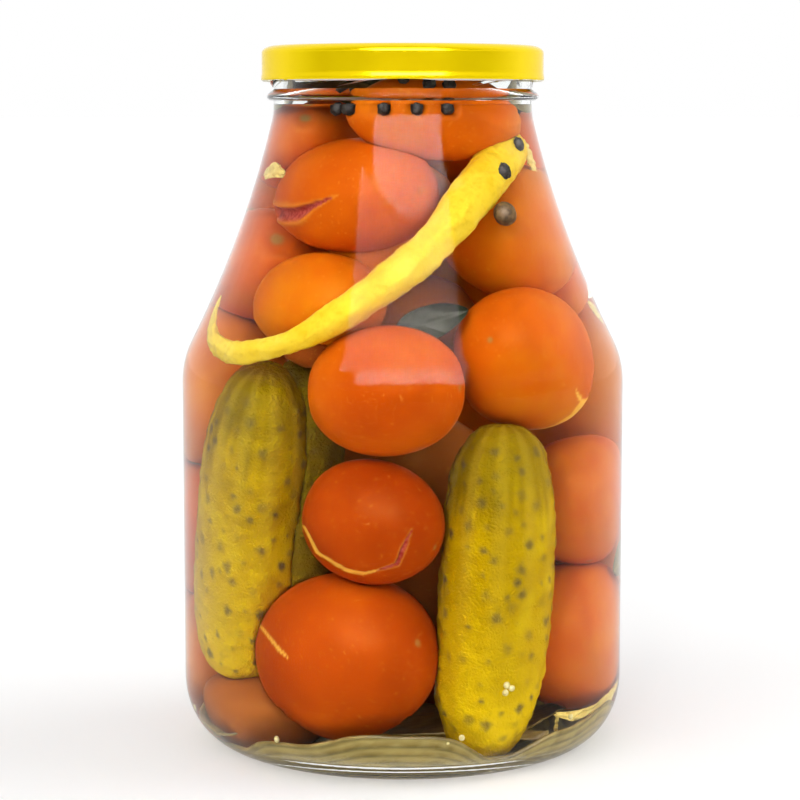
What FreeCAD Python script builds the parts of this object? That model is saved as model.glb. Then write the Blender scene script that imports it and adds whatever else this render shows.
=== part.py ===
"""A two-litre glass preserving jar with a pressed twist-off lid, filled with brine.

The jar stands on z = 0 with its axis on +Z, in millimetres. Each piece is a solid of its own:
the glass, the tinplate lid, the soft sealing ring inside the lid and the brine.
"""

import FreeCAD
import Part

import math
import os

# Overall sizes of the glass.
BODY_RADIUS = 67.3
JAR_HEIGHT = 211.3
WALL = 3.0

# Foot: a flat bearing ring round a pushed-up base, and a rounded heel above it.
HEEL_WIDTH = 17.2
HEEL_HEIGHT = 20.8
BEARING_WIDTH = 5.5
PUSH_UP = 3.6
PUSH_UP_EDGE = 0.8
BASE_THICKNESS = 4.6
BASE_CROWN = 2.4

# Shoulder: it leans in from the body, then sweeps up into the neck as a bell does.
SHOULDER_HEIGHT = 83.4
SHOULDER_RADIUS = 27.5
SHOULDER_EXTRA_LEAN = 8.4  # degrees steeper than the straight line from body to neck
NECK_SWEEP_RADIUS = 20.0

# Finish: the straight neck with its bead, thread ridges and rounded sealing rim.
FINISH_HEIGHT = 16.3
NECK_RADIUS = 39.1
BEAD_REACH = 2.0
BEAD_HEIGHT = 3.5
BEAD_DROP = 15.0  # lower edge of the bead below the rim
RIM_ROUND = 0.9
RIDGE_COUNT = 6
RIDGE_REACH = 1.3
RIDGE_HEIGHT = 1.5
RIDGE_RISE = 4.9
RIDGE_SPAN = 44.0  # degrees
RIDGE_BELOW_LID = 1.4  # low end of a ridge below the lid's edge, so that its lug runs under it
RIDGE_LEAD = 29.0  # degrees from a ridge's low end to the lid's lug that it holds

# Contents.
FILL_DROP = 16.9  # brine surface below the rim

# Lid: tinplate, with a rolled edge and lugs pressed inwards from it.
TIN = 0.25
SEAL_THICKNESS = 1.2
SEAL_OVERHANG_INSIDE = 0.5
SEAL_OVERHANG_OUTSIDE = 0.9
LID_EDGE_CLEARANCE = 1.9  # from the ridges' tips to the inside of the skirt
LID_HEIGHT = 10.75
LID_CORNER_WIDTH = 4.2
LID_CORNER_HEIGHT = 2.3
LID_STEP_DEPTH = 0.7
LID_STEP_WIDTH = 1.6
LID_CHANNEL_CLEARANCE = 0.65  # from the bore to the inside edge of the rim channel
CURL_RADIUS = 0.9
CURL_PROUD = 0.2
CURL_TURN = 255.0
LUG_COUNT = RIDGE_COUNT
LUG_SPAN = 12.0  # degrees
LUG_THICKNESS = 0.8
LUG_NECK_CLEARANCE = 0.5
LUG_LIFT = 0.5
LUG_WAVE = 21.0  # width of the wave that each lug leaves in the lid's lower edge

# Worked out from the sizes above.
BORE_RADIUS = NECK_RADIUS - WALL
FRONT = -90.0  # the lid's first lug faces -Y
NECK_START = JAR_HEIGHT - FINISH_HEIGHT
SHOULDER_START = NECK_START - SHOULDER_HEIGHT
FILL_LEVEL = JAR_HEIGHT - FILL_DROP
LID_TOP = JAR_HEIGHT + SEAL_THICKNESS + TIN
LID_BOTTOM = LID_TOP - LID_HEIGHT
SKIRT_RADIUS = NECK_RADIUS + RIDGE_REACH + LID_EDGE_CLEARANCE + TIN
CURL_CENTRE_RADIUS = SKIRT_RADIUS + CURL_PROUD - CURL_RADIUS
ROUND_SHARE = 0.5523  # handle length that makes a cubic curve follow a quarter of an ellipse


def point(radius, height, degrees=0.0):
    """A point from its distance to the axis, its height and its angle about the axis."""
    turn = math.radians(degrees)
    return FreeCAD.Vector(radius * math.cos(turn), radius * math.sin(turn), height)


def line(start, end):
    return Part.makeLine(point(*start), point(*end))


def arc(start, middle, end):
    return Part.Arc(point(*start), point(*middle), point(*end)).toShape()


def arc_about(centre, radius, first, last):
    """An arc in the profile plane, from one angle to another in degrees above outwards."""

    def on_arc(angle):
        turn = math.radians(angle)
        return (centre[0] + radius * math.cos(turn), centre[1] + radius * math.sin(turn))

    return arc(on_arc(first), on_arc((first + last) / 2), on_arc(last)), on_arc(last)


def curve(*poles):
    shape = Part.BezierCurve()
    shape.setPoles([point(*pole) for pole in poles])
    return shape.toShape()


def quarter(start, corner, end):
    """A quarter of an ellipse from start to end, whose tangents meet at the corner."""
    handles = [
        tuple(a + (c - a) * ROUND_SHARE for a, c in zip(side, corner)) for side in (start, end)
    ]
    return curve(start, handles[0], handles[1], end)


def revolve(edges):
    """A solid of revolution about the jar's axis from a closed profile."""
    face = Part.Face(Part.Wire(edges))
    return face.revolve(FreeCAD.Vector(0, 0, 0), FreeCAD.Vector(0, 0, 1), 360)


def shoulder(inset):
    """The curved stretch from the body up to the neck, set in from the outside by a wall."""
    rise = math.hypot(BODY_RADIUS - NECK_RADIUS, SHOULDER_HEIGHT)
    chord = math.asin((BODY_RADIUS - NECK_RADIUS) / rise)
    lean = chord + math.radians(SHOULDER_EXTRA_LEAN)
    outward = (math.cos(lean), math.sin(lean))
    turn_centre = (BODY_RADIUS - SHOULDER_RADIUS, SHOULDER_START)
    joint = tuple(c + SHOULDER_RADIUS * n for c, n in zip(turn_centre, outward))
    neck_centre = (NECK_RADIUS + NECK_SWEEP_RADIUS, NECK_START)
    gap = tuple(j - c for j, c in zip(joint, neck_centre))
    along = gap[0] * outward[0] + gap[1] * outward[1]
    bell_radius = (NECK_SWEEP_RADIUS**2 - gap[0] ** 2 - gap[1] ** 2) / (
        2 * (along + NECK_SWEEP_RADIUS)
    )
    bell_centre = tuple(j + bell_radius * n for j, n in zip(joint, outward))
    neck_lean = math.atan2(bell_centre[1] - neck_centre[1], bell_centre[0] - neck_centre[0])
    lean, neck_lean = math.degrees(lean), math.degrees(neck_lean)
    turn, _ = arc_about(turn_centre, SHOULDER_RADIUS - inset, 0, lean)
    bell, _ = arc_about(bell_centre, bell_radius + inset, 180 + lean, 180 + neck_lean)
    sweep, _ = arc_about(neck_centre, NECK_SWEEP_RADIUS + inset, 180 + neck_lean, 180)
    return [turn, bell, sweep]


def jar_outside():
    """The glass jar's outside as a filled solid, from the base to the sealing rim."""
    foot_radius = BODY_RADIUS - HEEL_WIDTH
    bearing_inner = foot_radius - BEARING_WIDTH
    bead_bottom = JAR_HEIGHT - BEAD_DROP
    bead_widest = bead_bottom + BEAD_HEIGHT * 0.35
    bead_top = bead_bottom + BEAD_HEIGHT
    bead_radius = NECK_RADIUS + BEAD_REACH
    rim_inner = BORE_RADIUS + WALL / 2
    edges = [
        curve((0, PUSH_UP), (bearing_inner * 0.6, PUSH_UP), (bearing_inner - 3, PUSH_UP_EDGE + 1),
              (bearing_inner, 0)),
        line((bearing_inner, 0), (foot_radius, 0)),
        quarter((foot_radius, 0), (BODY_RADIUS, 0), (BODY_RADIUS, HEEL_HEIGHT)),
        line((BODY_RADIUS, HEEL_HEIGHT), (BODY_RADIUS, SHOULDER_START)),
        *shoulder(0),
        line((NECK_RADIUS, NECK_START), (NECK_RADIUS, bead_bottom)),
        quarter((NECK_RADIUS, bead_bottom), (bead_radius, bead_bottom), (bead_radius, bead_widest)),
        curve((bead_radius, bead_widest), (bead_radius, bead_widest + 0.9),
              (NECK_RADIUS + 0.7, bead_top - 0.3), (NECK_RADIUS, bead_top)),
        line((NECK_RADIUS, bead_top), (NECK_RADIUS, JAR_HEIGHT - RIM_ROUND)),
        quarter((NECK_RADIUS, JAR_HEIGHT - RIM_ROUND), (NECK_RADIUS, JAR_HEIGHT),
                (NECK_RADIUS - RIM_ROUND, JAR_HEIGHT)),
        line((NECK_RADIUS - RIM_ROUND, JAR_HEIGHT), (rim_inner, JAR_HEIGHT)),
        line((rim_inner, JAR_HEIGHT), (0, JAR_HEIGHT)),
        line((0, JAR_HEIGHT), (0, PUSH_UP)),
    ]
    return revolve(edges)


def jar_inside(top):
    """The space inside the jar as a filled solid, from its floor up to a height."""
    inner = BODY_RADIUS - WALL
    heel_width = HEEL_WIDTH - WALL / 2
    floor = PUSH_UP + BASE_THICKNESS
    floor_edge = floor - BASE_CROWN
    wall_start = HEEL_HEIGHT + WALL / 2
    floor_radius = inner - heel_width
    edges = [
        curve((0, floor), (floor_radius * 0.5, floor), (floor_radius * 0.8, floor_edge),
              (floor_radius, floor_edge)),
        quarter((floor_radius, floor_edge), (inner, floor_edge), (inner, wall_start)),
        line((inner, wall_start), (inner, SHOULDER_START)),
        *shoulder(WALL),
        line((BORE_RADIUS, NECK_START), (BORE_RADIUS, JAR_HEIGHT)),
        line((BORE_RADIUS, JAR_HEIGHT), (0, JAR_HEIGHT)),
        line((0, JAR_HEIGHT), (0, floor)),
    ]
    space = revolve(edges)
    above = Part.makeCylinder(2 * BODY_RADIUS, JAR_HEIGHT, point(0, top))
    return space.cut(above) if top < JAR_HEIGHT else space


def bore_rounding():
    """The ring of glass cut away where the bore meets the sealing rim."""
    low = JAR_HEIGHT - RIM_ROUND
    return revolve([
        line((BORE_RADIUS, low), (BORE_RADIUS, JAR_HEIGHT)),
        line((BORE_RADIUS, JAR_HEIGHT), (BORE_RADIUS + RIM_ROUND, JAR_HEIGHT)),
        quarter((BORE_RADIUS + RIM_ROUND, JAR_HEIGHT), (BORE_RADIUS, JAR_HEIGHT),
                (BORE_RADIUS, low)),
    ])


def thread_ridge(first_angle):
    """One slanted ridge that a lug of the lid runs under, thin at both its ends."""
    buried = WALL / 3
    stations = 9
    sections = []
    for index in range(stations):
        share = index / (stations - 1)
        angle = first_angle + RIDGE_SPAN * share
        height = LID_BOTTOM - RIDGE_BELOW_LID + RIDGE_RISE * math.sin(share * math.pi / 2)
        fullness = min(1.0, 0.12 + 4.0 * min(share, 1 - share))
        reach = RIDGE_REACH * fullness
        half = RIDGE_HEIGHT / 2 * (0.45 + 0.55 * fullness)
        corners = [
            point(NECK_RADIUS - buried, height - half * 1.5, angle),
            point(NECK_RADIUS + reach, height - half * 0.6, angle),
            point(NECK_RADIUS + reach, height + half * 0.6, angle),
            point(NECK_RADIUS - buried, height + half * 1.5, angle),
        ]
        sections.append(Part.makePolygon(corners + corners[:1]))
    return Part.makeLoft(sections, True, False)


def glass_jar():
    glass = jar_outside().cut(jar_inside(JAR_HEIGHT)).cut(bore_rounding())
    for index in range(RIDGE_COUNT):
        glass = glass.fuse(thread_ridge(FRONT - RIDGE_LEAD + index * 360 / RIDGE_COUNT))
    return glass


def lid_pressing(depth):
    """The lid's stepped top and rounded corner, a depth below its outer face."""
    corner_inner = SKIRT_RADIUS - LID_CORNER_WIDTH
    ring_inner = BORE_RADIUS - LID_CHANNEL_CLEARANCE
    panel_radius = ring_inner - LID_STEP_WIDTH
    step_middle = (ring_inner + panel_radius) / 2
    top = LID_TOP - depth
    panel = top - LID_STEP_DEPTH
    skirt = SKIRT_RADIUS - depth
    corner_low = LID_TOP - LID_CORNER_HEIGHT
    return [
        line((0, panel), (panel_radius, panel)),
        curve((panel_radius, panel), (step_middle, panel), (step_middle, top), (ring_inner, top)),
        line((ring_inner, top), (corner_inner, top)),
        quarter((corner_inner, top), (skirt, top), (skirt, corner_low)),
    ]


def lid_shell():
    """The pressed cap: stepped top, rounded corner, straight skirt and rolled lower edge."""
    panel_top = LID_TOP - LID_STEP_DEPTH
    corner_low = LID_TOP - LID_CORNER_HEIGHT
    inside = SKIRT_RADIUS - TIN
    curl_centre = (CURL_CENTRE_RADIUS, LID_BOTTOM + CURL_RADIUS)
    skirt_low = curl_centre[1] + 2 * CURL_RADIUS
    swell = (skirt_low + curl_centre[1]) / 2
    curl_outer = (curl_centre[0] + CURL_RADIUS, curl_centre[1])
    curl_inner = (curl_outer[0] - TIN, curl_centre[1])
    outer_curl, outer_end = arc_about(curl_centre, CURL_RADIUS, 0, -CURL_TURN)
    inner_curl, inner_end = arc_about(curl_centre, CURL_RADIUS - TIN, 0, -CURL_TURN)
    return revolve([
        *lid_pressing(0),
        line((SKIRT_RADIUS, corner_low), (SKIRT_RADIUS, skirt_low)),
        curve((SKIRT_RADIUS, skirt_low), (SKIRT_RADIUS, swell), (curl_outer[0], swell), curl_outer),
        outer_curl,
        line(outer_end, inner_end),
        inner_curl,
        curve(curl_inner, (curl_inner[0], swell), (inside, swell), (inside, skirt_low)),
        line((inside, skirt_low), (inside, corner_low)),
        *reversed(lid_pressing(TIN)),
        line((0, panel_top - TIN), (0, panel_top)),
    ])


def ring_stretch(edges, angle, span):
    """A closed profile turned about the axis through a span centred on an angle."""
    face = Part.Face(Part.Wire(edges))
    face.rotate(point(0, 0), FreeCAD.Vector(0, 0, 1), angle - span / 2)
    return face.revolve(point(0, 0), FreeCAD.Vector(0, 0, 1), span)


def lid_lug(angle):
    """One lug: a stretch of the rolled edge pressed flat and inwards, the roll closed behind it."""
    inner = NECK_RADIUS + LUG_NECK_CLEARANCE
    low = LID_BOTTOM
    high = LID_BOTTOM + LUG_LIFT + LUG_THICKNESS
    nose = inner + LUG_THICKNESS / 2
    tongue = ring_stretch([
        line((nose, low), (CURL_CENTRE_RADIUS, low)),
        line((CURL_CENTRE_RADIUS, low), (CURL_CENTRE_RADIUS, high)),
        line((CURL_CENTRE_RADIUS, high), (nose, high)),
        arc((nose, high), (inner, (high + low + LUG_LIFT) / 2), (nose, low)),
    ], angle, LUG_SPAN)
    roll_circle, _ = arc_about((CURL_CENTRE_RADIUS, low + CURL_RADIUS), CURL_RADIUS, 0, 180)
    roll_rest, _ = arc_about((CURL_CENTRE_RADIUS, low + CURL_RADIUS), CURL_RADIUS, 180, 360)
    closed_span = math.degrees(LUG_WAVE / CURL_CENTRE_RADIUS)
    return tongue.fuse(ring_stretch([roll_circle, roll_rest], angle, closed_span))


def lug_wave(angle):
    """The shallow rise that pressing a lug leaves in the lid's lower edge, as a cutter."""
    radius = ((LUG_WAVE / 2) ** 2 + LUG_LIFT**2) / (2 * LUG_LIFT)
    start = point(NECK_RADIUS, LID_BOTTOM + LUG_LIFT - radius, angle)
    outwards = point(1, 0, angle)
    return Part.makeCylinder(radius, SKIRT_RADIUS - NECK_RADIUS + 1, start, outwards)


def lid():
    cap = lid_shell()
    for index in range(LUG_COUNT):
        angle = FRONT + index * 360 / LUG_COUNT
        cap = cap.fuse(lid_lug(angle)).cut(lug_wave(angle))
    return cap


def seal_ring():
    """The soft ring that fills the lid's rim channel and is pressed down on the glass."""
    inner = BORE_RADIUS - SEAL_OVERHANG_INSIDE
    outer = NECK_RADIUS + SEAL_OVERHANG_OUTSIDE
    ring = Part.makeCylinder(outer, LID_HEIGHT, point(0, JAR_HEIGHT))
    ring = ring.cut(Part.makeCylinder(inner, LID_HEIGHT, point(0, JAR_HEIGHT)))
    corner_low = LID_TOP - LID_CORNER_HEIGHT
    skirt = SKIRT_RADIUS - TIN
    panel = LID_TOP - LID_STEP_DEPTH - TIN
    under_lid = revolve([
        *lid_pressing(TIN),
        line((skirt, corner_low), (0, corner_low)),
        line((0, corner_low), (0, panel)),
    ])
    return ring.common(under_lid)


def brine():
    return jar_inside(FILL_LEVEL)


def main():
    os.makedirs("parts", exist_ok=True)
    for build in (glass_jar, lid, seal_ring, brine):
        shape = build()
        assert shape.isValid() and len(shape.Solids) == 1, build.__name__
        shape.Solids[0].exportStep(f"parts/{build.__name__}.step")


main()
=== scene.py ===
"""Looks of a two-litre jar of tomatoes, gherkins, a hot pepper and whole spices in brine."""
import math
import random

import bpy
import numpy as np
from mathutils import Euler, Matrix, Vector, noise


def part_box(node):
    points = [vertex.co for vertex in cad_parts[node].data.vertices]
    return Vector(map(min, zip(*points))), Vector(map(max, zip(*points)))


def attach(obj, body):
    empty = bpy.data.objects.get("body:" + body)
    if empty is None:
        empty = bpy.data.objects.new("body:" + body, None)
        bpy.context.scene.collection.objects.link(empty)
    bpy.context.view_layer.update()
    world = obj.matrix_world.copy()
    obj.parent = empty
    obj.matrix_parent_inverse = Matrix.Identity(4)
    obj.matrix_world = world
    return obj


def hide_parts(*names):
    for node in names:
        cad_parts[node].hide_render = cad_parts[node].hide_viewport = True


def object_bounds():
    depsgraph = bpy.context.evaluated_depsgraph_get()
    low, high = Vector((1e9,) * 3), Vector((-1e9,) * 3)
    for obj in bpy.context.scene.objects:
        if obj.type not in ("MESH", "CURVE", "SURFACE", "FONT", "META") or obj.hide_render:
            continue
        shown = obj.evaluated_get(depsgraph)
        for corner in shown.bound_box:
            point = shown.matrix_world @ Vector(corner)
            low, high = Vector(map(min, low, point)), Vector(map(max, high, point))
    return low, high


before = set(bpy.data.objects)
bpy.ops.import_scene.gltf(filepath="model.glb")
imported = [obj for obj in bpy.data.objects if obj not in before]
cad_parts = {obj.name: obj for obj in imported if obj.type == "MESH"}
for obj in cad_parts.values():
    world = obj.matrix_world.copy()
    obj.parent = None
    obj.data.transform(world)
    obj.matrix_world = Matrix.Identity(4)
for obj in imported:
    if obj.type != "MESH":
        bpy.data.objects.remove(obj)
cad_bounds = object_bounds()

MM = 0.001
UP = np.array([0.0, 0.0, 1.0])
TINY = 1e-9
WALL_ROOM = 0.12 * MM  # kept free between neighbours, and between the contents and the glass
FRUIT_TO_WALL = 0.3 * MM

# ---------------------------------------------------------------- the jar's own shape

JAR_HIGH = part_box("glass_jar")[1]
BRINE_LOW, BRINE_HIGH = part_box("brine")
FLOOR_LEVEL, FILL_LEVEL = BRINE_LOW.z, BRINE_HIGH.z
BRINE_POINTS = np.array([v.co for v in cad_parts["brine"].data.vertices])
BRINE_RADII = np.hypot(BRINE_POINTS[:, 0], BRINE_POINTS[:, 1])


def bore_profile():
    """Radius of the jar's inner wall against height, read from the brine that it holds."""
    heights = np.round(BRINE_POINTS[:, 2], 5)
    levels = np.unique(heights)
    widest = np.array([BRINE_RADII[heights == level].max() for level in levels])
    on_wall = (widest > 0.5 * BRINE_HIGH.x) | (levels > 0.5 * FILL_LEVEL)
    on_wall[0] = True
    return np.stack([levels, widest], axis=1)[on_wall]


def crown_profile():
    """Height of the jar's domed floor against radius, read from the brine that lies on it."""
    radii = np.round(BRINE_RADII, 4)
    low = BRINE_POINTS[:, 2] < FLOOR_LEVEL + 4 * MM
    edge = radii[int(np.argmin(BRINE_POINTS[:, 2]))]
    steps = np.unique(radii[low & (radii <= edge)])
    return np.array([(step, BRINE_POINTS[low & (radii == step), 2].min()) for step in steps])


BORE = bore_profile()
CROWN = crown_profile()
CROWN_EDGE = CROWN[-1][0]


def floor_height(radius):
    return np.interp(radius, CROWN[:, 0], CROWN[:, 1])


def bore_radius(height):
    return np.interp(height, BORE[:, 0], BORE[:, 1])


def wall_distance(radius, height):
    """Distance to the inner wall from a point at a radius and height, and the way there."""
    heights = np.linspace(FLOOR_LEVEL, FILL_LEVEL + 20 * MM, 400)
    radii = bore_radius(heights)
    radii[0] = 0.0
    away = np.hypot(radii - radius, heights - height)
    near = int(np.argmin(away))
    step = np.array([radii[near] - radius, heights[near] - height])
    return away[near], step / max(away[near], TINY)


def within_wall(points, room):
    """Draws points in where they are nearer to the wall than the room it needs."""
    radius = np.hypot(points[:, 0], points[:, 1])
    most = bore_radius(points[:, 2]) - room
    points[:, :2] *= np.where(radius > most, most / np.maximum(radius, TINY), 1.0)[:, None]


def keep_in_jar(points, room=0.15 * MM):
    """Lifts points off the floor and draws them in from the wall."""
    radius = np.hypot(points[:, 0], points[:, 1])
    points[:, 2] = np.maximum(points[:, 2], floor_height(radius) + room)
    within_wall(points, room)
    return points


def around(angle):
    """Directions along the wall and outwards, at an angle from the front in degrees."""
    turn = math.radians(angle)
    along = np.array([math.cos(turn), math.sin(turn), 0.0])
    outward = np.array([math.sin(turn), -math.cos(turn), 0.0])
    return along, outward


def at(angle, height, out):
    """A place given by the angle from the front, the height and the radius in mm."""
    _, outward = around(angle)
    return (outward * out + UP * height) * MM


def at_wall(angle, height, radius):
    """Where a small ball of a radius in mm touches the wall."""
    away = float(bore_radius(height * MM)) / MM - radius * 1.06 - 0.2
    return at(angle, height, away)


def on_floor(angle, out, radius):
    """Where a small ball of a radius in mm lies on the leaf that lines the floor."""
    low = BORE[:, 0] < 25 * MM
    height = float(floor_height(out * MM))
    if out * MM > CROWN_EDGE:
        height = float(np.interp((out + 0.7 * radius) * MM, BORE[low, 1], BORE[low, 0]))
    return at(angle, height / MM + radius + 1.2, out - 0.7 * radius)


# ---------------------------------------------------------------- mesh helpers


def mesh_piece(name, points, faces, made, slot, **values):
    """A smooth mesh object that rides on the jar, with one value a point for each name given."""
    mesh = bpy.data.meshes.new(name)
    mesh.from_pydata([tuple(p) for p in points], [], [tuple(int(i) for i in f) for f in faces])
    mesh.validate()
    for key, value in values.items():
        attribute = mesh.attributes.new(key, "FLOAT", "POINT")
        attribute.data.foreach_set("value", np.asarray(value, np.float32))
    mesh.shade_smooth()
    mesh.update()
    piece = bpy.data.objects.new(name, mesh)
    bpy.context.scene.collection.objects.link(piece)
    mesh.materials.append(made)
    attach(piece, "root")
    return piece


def shell_faces(rings, sides, flip=False):
    """Faces over rings of points between two poles, which are the first and the last point."""
    last = 1 + rings * sides
    faces = []
    for side in range(sides):
        after = (side + 1) % sides
        faces.append((0, 1 + side, 1 + after))
        faces.append((last, last - sides + after, last - sides + side))
        for ring in range(rings - 1):
            low = 1 + ring * sides
            faces.append((low + side, low + sides + side, low + sides + after, low + after))
    return [(face[0], *face[:0:-1]) for face in faces] if flip else faces


def sheet_faces(rows, columns, closed=False):
    """Faces of a thin sheet: a grid of points on top, the same grid below it, and the rim.

    A closed sheet runs all the way round, so that its last column meets the first.
    """
    count = rows * columns
    runs = [(column, (column + 1) % columns) for column in range(columns if closed else columns - 1)]
    faces = []
    for row in range(rows - 1):
        for a, b in [(row * columns + a, row * columns + b) for a, b in runs]:
            faces.append((a, a + columns, b + columns, b))
            faces.append((a + count, b + count, b + columns + count, a + columns + count))
    last = (rows - 1) * columns
    rim = [(b, a) for a, b in runs] + [(last + a, last + b) for a, b in runs]
    if not closed:
        for low in range(0, last, columns):
            rim += [(low, low + columns), (low + 2 * columns - 1, low + columns - 1)]
    return faces + [(a, a + count, b + count, b) for a, b in rim]


def merged(parts):
    """Several parts, each with its points and faces, as the points and faces of one mesh."""
    points, faces, start = [], [], 0
    for part_points, part_faces in parts:
        points.append(part_points)
        faces += [tuple(i + start for i in face) for face in part_faces]
        start += len(part_points)
    return np.vstack(points), faces


def globe(rings, sides):
    """Polar angle, turn, direction and faces of a closed ball, with one point at each pole."""
    polar = np.concatenate([[0.0], np.repeat(np.pi * np.arange(1, rings) / rings, sides), [np.pi]])
    turn = np.concatenate([[0.0], np.tile(2 * np.pi * np.arange(sides) / sides, rings - 1), [0.0]])
    ways = np.stack([np.sin(polar) * np.cos(turn), np.sin(polar) * np.sin(turn), np.cos(polar)], axis=1)
    return polar, turn, ways, shell_faces(rings - 1, sides)


def ahead_along(line):
    """Distance run and direction at each point of a line."""
    run = np.concatenate([[0], np.cumsum(np.linalg.norm(np.diff(line, axis=0), axis=1))])
    ahead = np.gradient(line, axis=0)
    return run, ahead / np.linalg.norm(ahead, axis=1)[:, None]


def finer(rows, times):
    """Rows of numbers with more rows put evenly between them, times as many in all."""
    rows = np.array(rows, float)
    steps, fine = np.linspace(0, 1, len(rows)), np.linspace(0, 1, times * len(rows))
    return np.stack([np.interp(fine, steps, column) for column in rows.T], axis=1)


def bell(away, width, power=2):
    """1 where away is 0, fading to nothing over a width."""
    return np.exp(-((away / width) ** power))


def stripes(value, width):
    """A bell at the middle of each whole step of a value."""
    return bell(value % 1.0 - 0.5, width)


def bow(along):
    """Sideways shift along a bent fruit, from -1 to 1 end to end, as a share of its bend."""
    return 0.4 - along**2


def waves(directions, rng, count, pitch):
    """Gentle random swells over a set of directions, about -1 to 1."""
    total = np.zeros(len(directions))
    for _ in range(count):
        axis = np.array([rng.gauss(0, 1) for _ in range(3)])
        axis *= pitch / np.linalg.norm(axis)
        total += np.sin(directions @ axis + rng.uniform(0, 2 * math.pi))
    return total / math.sqrt(count)


def grain(points, size, seed):
    """Fine noise at each point, with lumps of about a given size."""
    shift = Vector((seed * 7.3, seed * 3.1, seed * 5.7))
    return np.array([noise.noise(Vector(p) / size + shift) for p in points])


# ---------------------------------------------------------------- placing the contents


class Fruit:
    """A tomato or gherkin: where it lies, how it is turned and how large it is."""

    def __init__(self, kind, centre, axes, half, bend=0.0, held=True, seed=0, dull_from=0.55, ripe=None,
                 brown=0.0):
        self.kind = kind
        self.centre = np.array(centre, float)
        self.axes = np.array(axes, float)
        self.half = np.array(half, float)
        self.power = 2.0 if kind == "tomato" else 2.9
        self.bend = bend
        self.held = held
        self.seed = seed
        self.dull_from = dull_from
        self.ripe = ripe
        # brown is painted shade: a brown darkening over a whole tomato that lies in shadow
        self.brown = brown

    def on_skin(self, way, beyond=0.0):
        """The place on the skin, or a distance beyond it, straight out from the middle along a way."""
        way = np.array(way, float) / np.linalg.norm(way)
        share = 1 / float(self.depth((self.centre + way)[None, :])[0])
        return self.centre + way * (share + beyond)

    def local(self, points):
        inside = (points - self.centre) @ self.axes.T
        if self.bend:
            along = inside[:, 2] / self.half[2]
            inside[:, 0] = inside[:, 0] - self.bend * bow(along)
        return inside

    def depth(self, points):
        """1 on the surface, less inside and more outside."""
        inside = np.abs(self.local(points) / self.half)
        across = np.hypot(inside[:, 0], inside[:, 1])
        return (across**self.power + inside[:, 2] ** self.power) ** (1 / self.power)

    def balls(self):
        """Balls along the long axis that stand for the fruit while the heap settles."""
        radius = min(self.half[0], self.half[1])
        reach = max(self.half[2] - radius * 0.96, 0.0)
        count = max(1, int(math.ceil(2 * reach / (0.8 * radius))) + 1) if reach > 0.5 * MM else 1
        shares = np.linspace(-1, 1, count) if count > 1 else np.array([0.0])
        across = self.bend * bow(shares * reach / self.half[2])
        centres = self.centre + np.outer(shares * reach, self.axes[2])
        centres = centres + np.outer(across, self.axes[0])
        size = radius if self.kind == "gherkin" else (self.half[0] * self.half[1]) ** 0.5
        return centres, np.full(count, size)


def axes_of(long_axis, outward):
    """A fruit's axes: its long axis last, and before it the one that faces outwards."""
    second = outward - long_axis * (outward @ long_axis)
    second /= np.linalg.norm(second)
    return np.array([np.cross(second, long_axis), second, long_axis])


def against_wall(angle, height, half, lean=0.0, dip=0.0, inset=0.0, **more):
    """A tomato near the wall at an angle from the front and a height, in degrees and mm.

    Lean tips its long axis up from the level, dip tips that axis away from the wall, and inset
    moves it in from touching the wall.
    """
    along, outward = around(angle)
    tip, sink = math.radians(lean), math.radians(dip)
    long_axis = math.cos(sink) * (math.cos(tip) * along + math.sin(tip) * UP) - math.sin(sink) * outward
    axes = axes_of(long_axis, outward)
    half = np.array(half) * MM
    low, high = 0.0, float(bore_radius(height * MM))
    for _ in range(24):
        radius = (low + high) / 2
        away, way = wall_distance(radius, height * MM)
        way = outward * way[0] + UP * way[1]
        reach = math.sqrt(sum((half[i] * (axes[i] @ way)) ** 2 for i in range(3)))
        low, high = (radius, high) if away > reach + FRUIT_TO_WALL + inset * MM else (low, radius)
    return Fruit("tomato", outward * low + UP * height * MM, axes, half, **more)


def upright(place, half, **more):
    """A small tomato held at a place, with its long axis upright and its half sizes in mm."""
    return Fruit("tomato", place, np.eye(3), np.array(half) * MM, **more)


def between(low_end, high_end, radius, **more):
    """A gherkin whose axis runs between two ends, each an angle, a height and a radius in mm."""
    low, high = at(*low_end), at(*high_end)
    centre = (low + high) / 2
    length = np.linalg.norm(high - low)
    axes = axes_of((high - low) / length, centre * (1, 1, 0))
    return Fruit("gherkin", centre, axes, (radius * MM, radius * MM, length / 2), **more)


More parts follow.
